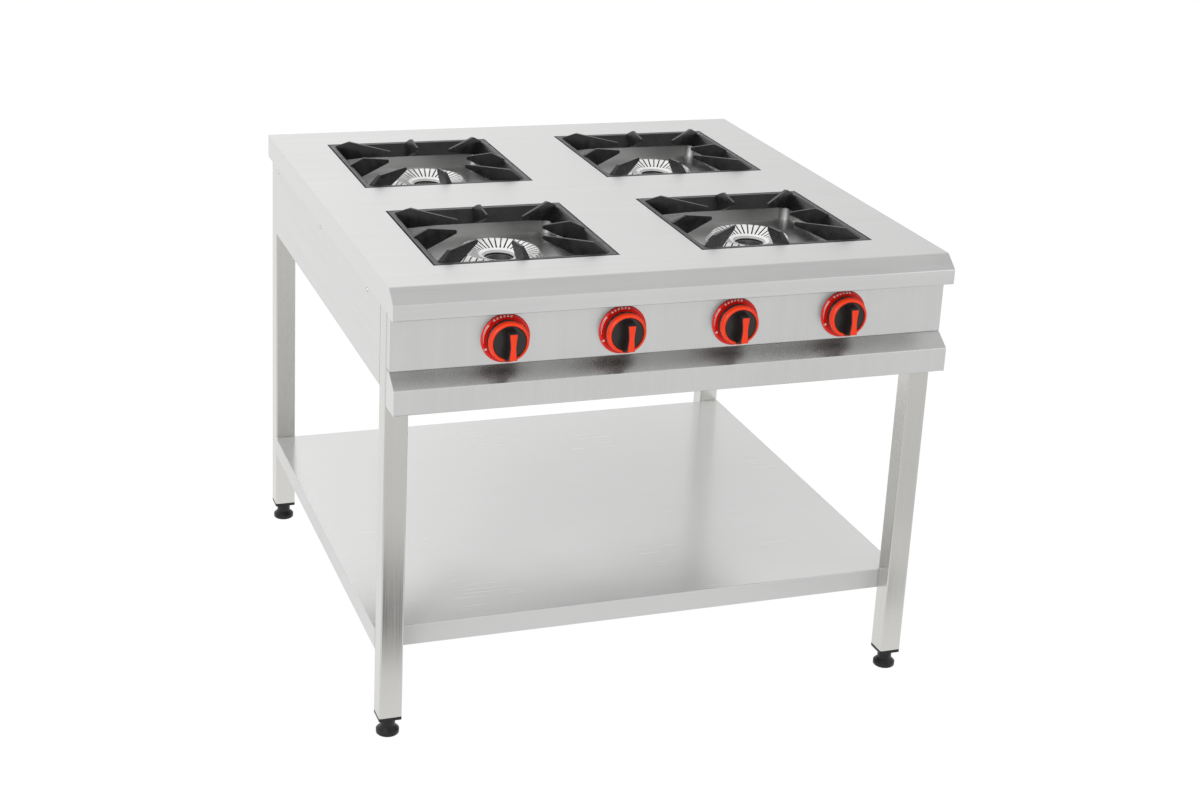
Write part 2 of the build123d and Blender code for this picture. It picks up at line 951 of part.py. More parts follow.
def side_screw(y):
    """Pan-head screw on the right-hand side panel."""
    profile = [
        (0, 0),
        (screw_head, 0),
        (0.9 * screw_head, 0.6 * screw_dome),
        (0.5 * screw_head, 0.95 * screw_dome),
        (0, screw_dome),
    ]
    shank = rod(screw_shank, 0, 0, -screw_length, screw_dome / 2)
    return Pos(leg_outer_x, y, side_screw_z) * Rot(0, 90, 0) * (turned(profile) + shank)


nodes = {
    "worktop_frame": worktop_frame(),
    "worktop_cross": worktop_cross(),
    "side_panel_right": side_panel(),
    "side_panel_left": mirrored(side_panel()),
    "back_panel": back_panel(),
    "control_panel": control_panel(),
    "front_apron": front_apron(),
    "lower_shelf": lower_shelf(),
    "shelf_stiffener": shelf_stiffener(),
    "support_rail_right": support_rail_side(),
    "support_rail_left": mirrored(support_rail_side()),
    "support_rail_centre": support_rail_centre(),
    "gas_manifold": gas_manifold(),
    "inlet_pipe": inlet_pipe(),
}

for row, y in (("front", burner_spots[0][2]), ("rear", burner_spots[2][2])):
    nodes["burner_bar_" + row] = burner_bar(y)

for side, sign in (("left", -1), ("right", 1)):
    for row, y in (("front", front_leg_y), ("rear", rear_leg_y)):
        nodes[f"leg_{row}_{side}"] = leg(sign * leg_x, y)
        nodes[f"leg_cap_{row}_{side}"] = leg_cap(sign * leg_x, y)
        nodes[f"foot_{row}_{side}"] = foot(sign * leg_x, y)

one_grate = grate()
one_crown = burner_crown()
for place, x, y in burner_spots:
    nodes["grate_" + place] = Pos(x, y, 0) * one_grate
    nodes["burner_crown_" + place] = Pos(x, y, 0) * one_crown
    nodes["drip_tray_" + place] = drip_tray(x, y)
    nodes["burner_base_" + place] = burner_base(x, y)

for i, x in enumerate(knob_xs):
    nodes[f"valve_body_{i + 1}"] = valve_body(x)
    nodes[f"valve_plug_{i + 1}"] = valve_plug(x)
    nodes[f"knob_{i + 1}"] = knob(x)

nodes["knob_bezels"] = Compound(children=[knob_bezel(x) for x in knob_xs])
nodes["injectors"] = Compound(children=[injector(x, y) for _, x, y in burner_spots])

# The outer knobs feed the front burners and the inner knobs the rear ones.
fed_by = [burner_spots[0], burner_spots[2], burner_spots[3], burner_spots[1]]
nodes["feed_pipes"] = Compound(
    children=[feed_pipe(x, spot[1], spot[2]) for x, spot in zip(knob_xs, fed_by)]
)

right_screws = [side_screw(y) for y in side_screw_ys]
nodes["side_screws"] = Compound(
    children=right_screws + [mirrored(screw) for screw in right_screws]
)

os.makedirs("parts", exist_ok=True)
for name, shape in nodes.items():
    export_step(shape, f"parts/{name}.step")
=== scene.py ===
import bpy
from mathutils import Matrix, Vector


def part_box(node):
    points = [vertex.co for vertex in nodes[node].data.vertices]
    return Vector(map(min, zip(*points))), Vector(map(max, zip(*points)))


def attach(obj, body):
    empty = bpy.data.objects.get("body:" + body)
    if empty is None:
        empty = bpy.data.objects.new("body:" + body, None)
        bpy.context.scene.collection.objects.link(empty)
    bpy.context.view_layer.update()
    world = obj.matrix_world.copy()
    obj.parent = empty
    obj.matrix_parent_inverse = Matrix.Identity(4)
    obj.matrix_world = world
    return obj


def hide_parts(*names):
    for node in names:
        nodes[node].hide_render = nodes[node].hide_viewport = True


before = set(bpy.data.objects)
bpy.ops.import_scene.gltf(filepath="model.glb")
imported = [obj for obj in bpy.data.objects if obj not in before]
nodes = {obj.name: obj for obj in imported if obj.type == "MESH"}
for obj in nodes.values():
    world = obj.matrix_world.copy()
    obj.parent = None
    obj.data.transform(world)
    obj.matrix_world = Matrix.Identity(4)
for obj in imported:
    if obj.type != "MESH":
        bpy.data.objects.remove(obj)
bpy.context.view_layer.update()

import math

import bmesh
import bpy
from mathutils import Matrix, Vector

scene = bpy.context.scene
scene.view_settings.view_transform = "Standard"


# Node helpers

RANGE_SOCKETS = ("From Min", "From Max", "To Min", "To Max")


def set_range(node, values):
    """Fills a Map Range node: from low, from high, to low, to high."""
    for socket, value in zip(RANGE_SOCKETS, values):
        node.inputs[socket].default_value = value


class Shader:
    """A material being built, with short calls for its nodes."""

    def __init__(self, name):
        self.material = bpy.data.materials.new(name)
        self.material.use_nodes = True
        self.tree = self.material.node_tree
        self.tree.nodes.clear()
        self.out = self.add("ShaderNodeOutputMaterial")
        self.body = self.add("ShaderNodeBsdfPrincipled")
        self.link(self.body.outputs[0], self.out.inputs["Surface"])
        self.coords = self.add("ShaderNodeTexCoord").outputs["Object"]

    def add(self, kind, **values):
        node = self.tree.nodes.new(kind)
        for key, value in values.items():
            setattr(node, key, value)
        return node

    def link(self, a, b):
        self.tree.links.new(a, b)

    def set(self, **values):
        names = {"colour": "Base Color", "metal": "Metallic", "rough": "Roughness",
                 "coat": "Coat Weight", "coat_rough": "Coat Roughness",
                 "specular": "Specular IOR Level"}
        for key, value in values.items():
            self.body.inputs[names[key]].default_value = (
                (*value, 1.0) if key == "colour" else value)

    def math(self, operation, a, b=None):
        node = self.add("ShaderNodeMath", operation=operation)
        for i, value in enumerate((a, b)):
            if value is None:
                continue
            if isinstance(value, (int, float)):
                node.inputs[i].default_value = value
            else:
                self.link(value, node.inputs[i])
        return node.outputs[0]

    def noise(self, scale, detail=3.0, rough=0.55, stretch=None, coords=None):
        source = coords or self.coords
        if stretch:
            mapping = self.add("ShaderNodeMapping")
            mapping.inputs["Scale"].default_value = stretch
            self.link(source, mapping.inputs["Vector"])
            source = mapping.outputs[0]
        node = self.add("ShaderNodeTexNoise")
        node.inputs["Scale"].default_value = scale
        node.inputs["Detail"].default_value = detail
        node.inputs["Roughness"].default_value = rough
        self.link(source, node.inputs["Vector"])
        return node.outputs["Fac"]

    def spread(self, value, low, high, from_low=0.3, from_high=0.7):
        node = self.add("ShaderNodeMapRange")
        set_range(node, (from_low, from_high, low, high))
        self.link(value, node.inputs["Value"])
        return node.outputs[0]

    def mix(self, fac, a, b):
        node = self.add("ShaderNodeMix", data_type="RGBA")
        self.link(fac, node.inputs[0])
        for slot, value in ((6, a), (7, b)):
            if isinstance(value, tuple):
                node.inputs[slot].default_value = (*value, 1.0)
            else:
                self.link(value, node.inputs[slot])
        return node.outputs[2]

    def bump(self, height, distance, strength=1.0, before=None):
        node = self.add("ShaderNodeBump")
        node.inputs["Strength"].default_value = strength
        node.inputs["Distance"].default_value = distance
        self.link(height, node.inputs["Height"])
        if before is not None:
            self.link(before, node.inputs["Normal"])
        return node.outputs[0]

    def colour(self, value):
        self.link(value, self.body.inputs["Base Color"])

    def rough(self, value):
        self.link(value, self.body.inputs["Roughness"])

    def normal(self, value):
        self.link(value, self.body.inputs["Normal"])


def tint(colour, factor):
    return tuple(min(1.0, c * factor) for c in colour)


# How tightly the scratches lie across the grain, and along it.
FINE_GRAIN, BROAD_GRAIN = (900.0, 5.0), (75.0, 2.0)


def along_grain(grain, packing):
    across, along = packing
    return [along if axis == grain else across for axis in range(3)]


def brushed(name, colour, grain, rough=0.34, depth=0.00004, mottling=0.03, under_shade=0.6,
            metal=1.0, turn=(-0.75, -0.55)):
    """Satin steel whose fine scratches run along one axis (0 X, 1 Y, 2 Z).

    Faces that look down are painted darker, as shade: their colour is under times as
    bright, and they are rougher too. The painted shade gives way to the satin where the
    normal's height is between the two of turn.
    """
    s = Shader(name)
    s.set(colour=colour, metal=metal, rough=rough)
    fine = s.noise(1.0, 2.0, 0.6, along_grain(grain, FINE_GRAIN))
    broad = s.noise(1.0, 2.0, 0.5, along_grain(grain, BROAD_GRAIN))
    cloud = s.noise(5.0, 3.0)
    tone = s.math("ADD", s.spread(fine, -0.5, 0.5), s.spread(broad, -0.5, 0.5))
    tone = s.math("ADD", s.math("MULTIPLY", tone, 0.5), s.spread(cloud, 0.1, 0.9))
    satin = s.mix(tone, tint(colour, 1 - mottling), tint(colour, 1 + mottling))
    facing = s.add("ShaderNodeSeparateXYZ")
    s.link(s.add("ShaderNodeNewGeometry").outputs["True Normal"], facing.inputs[0])
    # Painted shade: faces that look down are darkened; the same mask makes them rougher.
    down = s.spread(facing.outputs[2], 1.0, 0.0, *turn)
    s.colour(s.mix(down, satin, tint(colour, under_shade)))
    wear = s.math("ADD", s.spread(fine, rough - 0.05, rough + 0.05),
                  s.spread(cloud, -0.04, 0.04))
    s.rough(s.math("ADD", wear, s.math("MULTIPLY", down, 0.15)))
    s.normal(s.bump(fine, depth, 0.6))
    return s.material


# Scale of the finest noise on each surface, and how deep the plastic's is, in metres.
IRON_GRAIN, PLASTIC_GRAIN = 700.0, 1500.0
PLASTIC_DEPTH = 0.00003


def cast(name, colour, rough, depth=0.00025, metal=0.0, lump=0.0006, specular=0.55):
    """Cast or enamelled iron with a pebbled skin and slight lumps."""
    s = Shader(name)
    s.set(colour=colour, metal=metal, rough=rough, specular=specular)
    fine = s.noise(IRON_GRAIN, 3.0)
    lumps = s.noise(60.0, 2.0)
    s.colour(s.mix(s.spread(lumps, 0.0, 1.0), tint(colour, 0.7), tint(colour, 1.5)))
    s.rough(s.math("ADD", s.spread(fine, rough - 0.08, rough + 0.08),
                   s.spread(lumps, -0.05, 0.08)))
    s.normal(s.bump(fine, depth, 0.8, s.bump(lumps, lump, 0.6)))
    return s.material


def plastic(name, colour, rough, coat=0.0, mirrored=None, specular=0.5):
    """Moulded plastic; mirrored, if given, is its painted reflection: a muted colour that steel
    beside it shows in place of its own.
    """
    s = Shader(name)
    s.set(colour=colour, rough=rough, coat=coat, coat_rough=0.08, specular=specular)
    fine = s.noise(PLASTIC_GRAIN, 2.0)
    cloud = s.noise(40.0, 2.0)
    tone = s.mix(s.spread(cloud, 0.0, 1.0), tint(colour, 0.93), tint(colour, 1.06))
    if mirrored:
        # Painted reflection: glossy rays see the muted colour in place of the plastic's own.
        path = s.add("ShaderNodeLightPath")
        tone = s.mix(path.outputs["Is Glossy Ray"], tone, mirrored)
    s.colour(tone)
    s.rough(s.math("ADD", s.spread(fine, rough - 0.03, rough + 0.05),
                   s.spread(cloud, -0.02, 0.03)))
    s.normal(s.bump(fine, PLASTIC_DEPTH, 0.5))
    return s.material


def turned_metal(name, colour, rough, centre, upright=True, rings=2600.0, metal=1.0,
                 recess_shade=None):
    """Metal with the fine rings of a lathe round an axis through centre.

    Faces that look round the axis, such as the sides of radial cuts, and the wall of the
    bore, which looks at the axis, take the colour slots: painted shade in those recesses.
    """
    s = Shader(name)
    s.set(colour=colour, metal=metal, rough=rough)
    move = s.add("ShaderNodeVectorMath", operation="SUBTRACT")
    move.inputs[1].default_value = centre
    s.link(s.coords, move.inputs[0])
    flat = s.add("ShaderNodeVectorMath", operation="MULTIPLY")
    flat.inputs[1].default_value = (1, 1, 0) if upright else (1, 0, 1)
    s.link(move.outputs[0], flat.inputs[0])
    length = s.add("ShaderNodeVectorMath", operation="LENGTH")
    s.link(flat.outputs[0], length.inputs[0])
    radius = s.add("ShaderNodeCombineXYZ")
    s.link(length.outputs["Value"], radius.inputs[0])
    ring = s.noise(rings, 2.0, 0.6, coords=radius.outputs[0])
    cloud = s.noise(45.0, 3.0)
    tone = s.mix(s.spread(cloud, 0.0, 1.0), tint(colour, 0.92), tint(colour, 1.05))
    if recess_shade:
        across = s.add("ShaderNodeVectorMath", operation="NORMALIZE")
        s.link(flat.outputs[0], across.inputs[0])
        facing = s.add("ShaderNodeNewGeometry").outputs["True Normal"]
        cross = s.add("ShaderNodeVectorMath", operation="CROSS_PRODUCT")
        s.link(across.outputs[0], cross.inputs[0])
        s.link(facing, cross.inputs[1])
        split = s.add("ShaderNodeSeparateXYZ")
        s.link(cross.outputs[0], split.inputs[0])
        side = s.math("ABSOLUTE", split.outputs[2])
        inward = s.add("ShaderNodeVectorMath", operation="DOT_PRODUCT")
        s.link(across.outputs[0], inward.inputs[0])
        s.link(facing, inward.inputs[1])
        bore = s.spread(inward.outputs["Value"], 1.0, 0.0, -0.9, -0.5)
        # Painted shade: the cut sides and the bore wall are darkened towards near-black.
        recess_shade_mask = s.math("MAXIMUM", s.spread(side, 0.0, 1.0, 0.5, 0.8), bore)
        tone = s.mix(recess_shade_mask, tone, recess_shade)
    s.colour(tone)
    s.rough(s.math("ADD", s.spread(ring, rough - 0.05, rough + 0.06),
                   s.spread(cloud, -0.04, 0.05)))
    s.normal(s.bump(ring, 0.00005, 0.5))
    return s.material


# Materials

GRAIN_X, GRAIN_Y, GRAIN_Z = 0, 1, 2
# Heights of the knobs' axes and of the screws in the side panels, in metres.
KNOB_HEIGHT, SCREW_HEIGHT = 0.722, 0.768
STEEL = (0.72, 0.72, 0.715)
# Painted reflection: a muted, greyish red that the steel mirrors in place of the knobs and
# dials.
PAINTED_REFLECTION_RED = (0.13, 0.092, 0.086)
worktop_steel = brushed("worktop_steel", STEEL, GRAIN_X, 0.34)
panel_steel = brushed("panel_steel", tint(STEEL, 0.98), GRAIN_Z, 0.34)
apron_steel = brushed("apron_steel", tint(STEEL, 0.99), GRAIN_Z, 0.30)
side_steel = brushed("side_steel", tint(STEEL, 0.98), GRAIN_Y, 0.36)
tube_steel = brushed("tube_steel", (0.65, 0.643, 0.622), GRAIN_Z, 0.24)
# The shelf's turn reaches its upright folds, so they and its underside are painted 0.8 as
# bright, as shade.
shelf_steel = brushed("shelf_steel", tint(STEEL, 1.12), GRAIN_X, 0.20, 0.00001, 0.012,
                      under_shade=0.8, metal=0.5, turn=(0.3, 0.7))
inner_steel = brushed("inner_steel", (0.62, 0.63, 0.64), GRAIN_Y, 0.5, under_shade=0.9, metal=0.5)
# The back panel's steel is paler and less metallic than the rest: painted light, so it reads
# bright where the shelf mirrors it.
back_steel = brushed("back_steel", (0.84, 0.84, 0.83), GRAIN_X, 0.5, under_shade=0.9, metal=0.3)
polished_steel = brushed("polished_steel", (0.56, 0.56, 0.555), GRAIN_X, 0.34, 0.00001)
black_iron = cast("black_iron", (0.011, 0.011, 0.012), 0.30, depth=0.0001, lump=0.0003,
                  specular=0.4)
grey_iron = cast("grey_iron", (0.16, 0.16, 0.16), 0.6, metal=0.6)
brass = turned_metal("brass", (0.72, 0.53, 0.25), 0.28, (0, 0, KNOB_HEIGHT), False, 1200.0)
pipe_metal = brushed("pipe_metal", (0.68, 0.68, 0.69), GRAIN_Y, 0.3)
pipe_paint = plastic("pipe_paint", (0.25, 0.26, 0.27), 0.45)
black_plastic = plastic("black_plastic", (0.009, 0.009, 0.01), 0.36, specular=0.35)
knob_black = plastic("knob_black", (0.014, 0.009, 0.009), 0.34, 0.15)
knob_red = plastic("knob_red", (0.93, 0.042, 0.002), 0.4, 0.15, mirrored=PAINTED_REFLECTION_RED,
                   specular=0.3)
dial_red = plastic("dial_red", (0.80, 0.012, 0.006), 0.25, 0.15, mirrored=PAINTED_REFLECTION_RED,
                   specular=0.35)
mark_white = plastic("mark_white", (0.82, 0.80, 0.78), 0.4)
screw_metal = turned_metal("screw_metal", (0.6, 0.6, 0.6), 0.3, (0, 0, SCREW_HEIGHT), False)


# The bevel takes edges that turn by more than this, in degrees.
SHARP_EDGE = 35.0


def dress(node, material, bevel=0.0, segments=2):
    """Gives a CAD node its material and a bevel.

    Most faces of the CAD nodes come apart at their edges, and the bevel leaves those as they
    are: it adds faces to the grates and the side screws only.
    """
    o = nodes[node]
    if not o.material_slots:
        o.data.materials.append(material)
    for slot in o.material_slots:
        slot.material = material
    if bevel:
        m = o.modifiers.new("soft_edges", "BEVEL")
        m.width = bevel
        m.segments = segments
        m.limit_method = "ANGLE"
        m.angle_limit = math.radians(SHARP_EDGE)
        m.harden_normals = True
        m.use_clamp_overlap = True


ends = ("front_left", "front_right", "rear_left", "rear_right")
knob_numbers = range(1, 5)
dress("worktop_frame", worktop_steel, 0.0007)
dress("worktop_cross", worktop_steel, 0.0007)
dress("control_panel", panel_steel, 0.0004)
dress("front_apron", apron_steel, 0.0004)
dress("side_panel_left", side_steel, 0.0004)
dress("side_panel_right", side_steel, 0.0004)
dress("back_panel", back_steel, 0.0004)
dress("lower_shelf", shelf_steel, 0.0004)
dress("shelf_stiffener", inner_steel)
for name in ("support_rail_left", "support_rail_centre", "support_rail_right",
             "burner_bar_front", "burner_bar_rear"):
    dress(name, inner_steel, 0.0003)
dress("gas_manifold", pipe_paint, 0.0006)
dress("inlet_pipe", pipe_paint, 0.0003)
dress("feed_pipes", pipe_metal)
dress("injectors", brass, 0.0003)
dress("side_screws", screw_metal, 0.0001)
for end in ends:
    dress("leg_" + end, tube_steel)
    dress("leg_cap_" + end, black_plastic, 0.0004)
    dress("foot_" + end, black_plastic, 0.0006)
    dress("grate_" + end, black_iron, 0.0012)
    dress("drip_tray_" + end, polished_steel, 0.0003)
    dress("burner_base_" + end, grey_iron, 0.0008)
    low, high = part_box("burner_crown_" + end)
    middle = ((low[0] + high[0]) / 2, (low[1] + high[1]) / 2, high[2])
    # The crowns' cut sides and bore wall are painted near-black as shade.
    crown_metal = turned_metal("crown_metal_" + end, (0.95, 0.95, 0.94), 0.3, middle,
                               metal=0.25, recess_shade=(0.03, 0.03, 0.03))
    dress("burner_crown_" + end, crown_metal, 0.0003, 1)
for i in knob_numbers:
    dress(f"valve_body_{i}", brass, 0.0004)
    dress(f"valve_plug_{i}", brass, 0.0002)


# Mesh pieces

def piece(name, bm, material, body, smooth=True):
    mesh = bpy.data.meshes.new(name)
    bm.normal_update()
    bm.to_mesh(mesh)
    bm.free()
    o = bpy.data.objects.new(name, mesh)
    scene.collection.objects.link(o)
    mesh.materials.append(material)
    if smooth:
        mesh.polygons.foreach_set("use_smooth", [True] * len(mesh.polygons))
    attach(o, body)
    return o


def lathe(points, steps=96):
    """Surface turned about the local Z axis from (radius, height) points, in metres."""
    bm = bmesh.new()
    rings = []
    for i in range(steps):
        a = math.tau * i / steps
        rings.append([bm.verts.new((r * math.cos(a), r * math.sin(a), h)) for r, h in points])
    for i in range(steps):
        one, two = rings[i], rings[(i + 1) % steps]
        for j in range(len(points) - 1):
            bm.faces.new((one[j], two[j], two[j + 1], one[j + 1]))
    bmesh.ops.remove_doubles(bm, verts=bm.verts, dist=1e-6)
    bmesh.ops.recalc_face_normals(bm, faces=bm.faces)
    return bm


# A rounded corner takes at most this share of each side next to it.
CORNER_SHARE = 0.45


def rounded(points, radius, steps=4):
    """The same outline with a curve in place of each corner between its two ends."""
    out = [points[0]]
    for a, b, c in zip(points, points[1:], points[2:]):
        p, q, r = Vector(a), Vector(b), Vector(c)
        u, v = (p - q), (r - q)
        reach = min(radius, u.length * CORNER_SHARE, v.length * CORNER_SHARE)
        start, end = q + u.normalized() * reach, q + v.normalized() * reach
        for k in range(steps + 1):
            t = k / steps
            out.append(tuple((1 - t) ** 2 * start + 2 * t * (1 - t) * q + t ** 2 * end))
    out.append(points[-1])
    return out


def front_placement(x, y, z):
    """Local X to the right, local Y up, local Z to the front."""
    turn = Matrix(((1, 0, 0), (0, 0, -1), (0, 1, 0))).to_4x4()
    return Matrix.Translation((x, y, z)) @ turn


MM = 0.001
panel_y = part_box("control_panel")[0][1]
knob_xs = [sum(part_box(f"knob_{i}")[k][0] for k in (0, 1)) / 2 for i in knob_numbers]


def mm(points):
    return [(a * MM, b * MM) for a, b in points]


def flat_mark(outline, height, thick):
    """A flat piece in the dial's plane from a closed outline; all in millimetres."""
    bm = bmesh.new()
    low = [bm.verts.new((x * MM, y * MM, height * MM)) for x, y in outline]
    high = [bm.verts.new((x * MM, y * MM, (height + thick) * MM)) for x, y in outline]
    bm.faces.new(low[::-1])
    bm.faces.new(high)
    for i in range(len(low)):
        j = (i + 1) % len(low)
        bm.faces.new((low[i], low[j], high[j], high[i]))
    return bm


def arc_band(r0, r1, a0, a1, r0_end=None, r1_end=None, steps=24):
    """Outline of a band round the dial; angles in degrees from straight up, clockwise."""
    r0_end = r0 if r0_end is None else r0_end
    r1_end = r1 if r1_end is None else r1_end
    inner, outer = [], []
    for k in range(steps + 1):
        t = k / steps
        a = math.radians(90 - (a0 + (a1 - a0) * t))
        ri, ro = r0 + (r0_end - r0) * t, r1 + (r1_end - r1) * t
        inner.append((ri * math.cos(a), ri * math.sin(a)))
        outer.append((ro * math.cos(a), ro * math.sin(a)))
    return outer + inner[::-1]


# Knobs and dials, in millimetres from the panel's face and each knob's axis

SKIRT_RADIUS, SKIRT_BACK, SKIRT_FRONT, RING_BACK = 34.5, 8.0, 27.0, 16.0
DISH_RADIUS, FACE_Z, HUB_RADIUS, HUB_BACK = 28.6, 25.0, 9.8, 11.0
DIAL_INNER, DIAL_RADIUS, DIAL_HEIGHT = 17.0, 42.0, 4.0
STRIP_Z, KNOB_REACH = 44.6, 46.0
STRIP_TOP, STRIP_BOTTOM, STRIP_WIDTH = 20.4, -24.2, 0.78
SPINDLE_RADIUS, SPINDLE_END = 3.9, 15.0
MARK_RADIUS, MARK_BACK, MARK_THICK = 38.6, 3.72, 0.2

dial_profile = rounded(mm([
    (DIAL_INNER, 0), (DIAL_RADIUS, 0), (DIAL_RADIUS, 1.6), (40.6, 3.5),
    (39.6, DIAL_HEIGHT), (37.2, 3.8), (35.6, 3.5), (DIAL_INNER, 3.5), (DIAL_INNER, 0)]),
    0.6 * MM)
hub_profile = rounded(mm([
    (31.0, SKIRT_BACK), (33.8, SKIRT_BACK), (33.9, RING_BACK + 1), (30.4, RING_BACK + 1),
    (30.4, 12.0), (31.0, SKIRT_BACK)]), 0.8 * MM)
ring_profile = rounded(mm([
    (30.6, RING_BACK), (SKIRT_RADIUS, RING_BACK), (SKIRT_RADIUS, 22.2), (33.4, 24.6),
    (31.4, 26.3), (29.4, SKIRT_FRONT), (DISH_RADIUS, SKIRT_FRONT - 0.6),
    (DISH_RADIUS - 0.2, 21.0), (30.6, 20.0), (30.6, RING_BACK)]), 1.6 * MM, 6)
face_profile = rounded(mm([
    (0, FACE_Z - 0.5), (18, FACE_Z - 0.4), (25.0, FACE_Z), (27.4, FACE_Z + 0.3),
    (DISH_RADIUS - 0.3, FACE_Z - 0.3), (DISH_RADIUS - 0.4, 21.0), (HUB_RADIUS, 21.0),
    (HUB_RADIUS, HUB_BACK), (0, HUB_BACK)]), 0.6 * MM)

# Half widths of the grip along its length, from its blunt end to its pointer.
GRIP_SHAPE = [(1.0, 7.8), (0.86, 7.2), (0.66, 5.9), (0.48, 5.4), (0.28, 6.2), (0.0, 7.9)]
# Height of each level of the grip, its two ends and how wide it is there.
GRIP_LEVELS = [(21.0, 24.0, -33.0, 1.02), (33.0, 22.6, -28.6, 1.0),
               (42.0, 21.8, -25.6, 0.98), (44.8, 21.2, -24.8, 0.93)]


def soften(o, width, segments):
    m = o.modifiers.new("soft_edges", "BEVEL")
    m.width = width
    m.segments = segments
    m.harden_normals = True


def grip_loop(top, bottom, width):
    side = [(w * width, bottom + (top - bottom) * t) for t, w in GRIP_SHAPE]
    return side + [(-x, y) for x, y in side[::-1]]


def grip(body, place, index):
    """Black grip bar with its red front strip, pointer end down."""
    bm = bmesh.new()
    rings = [[bm.verts.new((x * MM, y * MM, height * MM))
              for x, y in grip_loop(top, bottom, width)]
             for height, top, bottom, width in GRIP_LEVELS]
    count = len(rings[0])
    for a, b in zip(rings, rings[1:]):
        for i in range(count):
            j = (i + 1) % count
            bm.faces.new((a[i], a[j], b[j], b[i]))
    bm.faces.new(rings[0][::-1])
    bm.faces.new(rings[-1])
    bmesh.ops.recalc_face_normals(bm, faces=bm.faces)
    bar = piece(f"knob_{index}_grip", bm, knob_black, body, smooth=False)
    bar.matrix_world = place
    soften(bar, width=0.0010, segments=3)
    outline = grip_loop(STRIP_TOP, STRIP_BOTTOM, STRIP_WIDTH)
    strip = piece(f"knob_{index}_strip",
                  flat_mark(outline, STRIP_Z, KNOB_REACH - STRIP_Z), knob_red, body, False)
    strip.matrix_world = place
    soften(strip, width=0.0004, segments=2)


def flame_mark(radius, angle, size):
    """Small flame outline that stands on the dial at an angle clockwise from the top."""
    a = math.radians(90 - angle)
    across, along = (math.sin(a), -math.cos(a)), (math.cos(a), math.sin(a))
    shape = [(0.0, -1.0), (0.55, -0.7), (0.7, -0.1), (0.35, 0.35), (0.25, 1.0),
             (-0.2, 0.45), (-0.4, 0.7), (-0.65, -0.1), (-0.55, -0.7)]
    return [(radius * along[0] + size * (u * across[0] + v * along[0]),
             radius * along[1] + size * (u * across[1] + v * along[1])) for u, v in shape]


def dial_marks():
    """Plain marks round the dial: ticks, a scale that narrows, and two flames."""
    ticks = [arc_band(MARK_RADIUS - 1.6, MARK_RADIUS + 1.7, a - 2.4, a + 2.4, steps=4)
             for a in (-33, -24, -15, -6, 3, 12)]
    scale = arc_band(MARK_RADIUS - 1.0, MARK_RADIUS + 2.0, -50, -98,
                     MARK_RADIUS - 0.4, MARK_RADIUS + 0.9)
    return ticks + [scale, flame_mark(MARK_RADIUS, -116, 3.0), flame_mark(MARK_RADIUS, 96, 1.8)]


for index, x in enumerate(knob_xs, 1):
    place = front_placement(x, panel_y, KNOB_HEIGHT)
    body = f"knob_{index}"
    ring = piece(f"knob_{index}_ring", lathe(ring_profile), knob_red, body)
    ring.matrix_world = place
    hub = piece(f"knob_{index}_skirt", lathe(hub_profile), knob_black, body)
    hub.matrix_world = place
    face = piece(f"knob_{index}_face", lathe(face_profile), knob_black, body)
    face.matrix_world = place
    grip(body, place, index)
    shaft = piece(f"knob_{index}_spindle", lathe(rounded(mm([
        (0, -SPINDLE_END), (SPINDLE_RADIUS, -SPINDLE_END), (SPINDLE_RADIUS, HUB_BACK + 1),
        (0, HUB_BACK + 1)]), 0.4 * MM), 32), brass, body)
    shaft.matrix_world = place
    dial = piece(f"dial_{index}", lathe(dial_profile), dial_red, "stove")
    dial.matrix_world = place
    for k, outline in enumerate(dial_marks()):
        mark = piece(f"dial_{index}_mark_{k}", flat_mark(outline, MARK_BACK, MARK_THICK),
                     mark_white, "stove", False)
        mark.matrix_world = place
    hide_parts(f"knob_{index}")
    if index == 1:
        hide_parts("knob_bezels")


# Camera

SENSOR_WIDTH, FRAME_WIDTH = 36.0, 1200


def set_camera(position, yaw, pitch, roll, focal, shift):
    """Angles in degrees, and focal length in pixels of a frame FRAME_WIDTH pixels wide."""
    yaw, pitch, roll = (math.radians(a) for a in (yaw, pitch, roll))
    forward = Vector((math.sin(yaw) * math.cos(pitch), math.cos(yaw) * math.cos(pitch),
                      -math.sin(pitch)))
    right = Vector((math.cos(yaw), -math.sin(yaw), 0.0))
    up = right.cross(forward)
    right_2 = right * math.cos(roll) + up * math.sin(roll)
    up_2 = -right * math.sin(roll) + up * math.cos(roll)
    data = bpy.data.cameras.new("camera")
    data.sensor_width = SENSOR_WIDTH
    data.lens = focal / FRAME_WIDTH * SENSOR_WIDTH
    data.shift_x, data.shift_y = shift
    data.clip_end = 100.0
    o = bpy.data.objects.new("camera", data)
    turn = Matrix((right_2, up_2, -forward)).transposed().to_4x4()
    o.matrix_world = Matrix.Translation(position) @ turn
    scene.collection.objects.link(o)
    scene.camera = o


set_camera(position=(-1.2505, -3.4135, 1.8229), yaw=20.617, pitch=17.867, roll=2.983,
           focal=2014.2, shift=(0.0, -0.1))


# Light and floor

def area(name, position, target, size, power):
    """White disc-shaped lamp, size metres across, that looks at target."""
    data = bpy.data.lights.new(name, "AREA")
    data.shape = "DISK"
    data.size = size
    data.energy = power
    o = bpy.data.objects.new(name, data)
    o.location = position
    direction = Vector(target) - Vector(position)
    o.rotation_euler = direction.to_track_quat("-Z", "Y").to_euler()
    scene.collection.objects.link(o)


area("key", position=(-2.4, -2.6, 2.5), target=(0, 0, 0.6), size=1.2, power=32)
area("fill", position=(3.0, -2.6, 2.2), target=(0, 0, 0.5), size=1.6, power=13)

NEAR_HORIZON, OVERHEAD = 1.0, 0.67
# Heights of the direction of sight, from 0 level to 1 straight up, between which it darkens.
DARKENS_FROM, DARKENS_TO = 0.55, 0.92
# The backdrop's brightness falls from the left to the right: directions, then strengths.
BACKDROP_FALL = (0.16, 0.54, 1.10, 0.78)
# It is dimmer in front of the stove than behind it.
FRONT_FALL = (-0.85, -0.3, 0.84, 1.0)


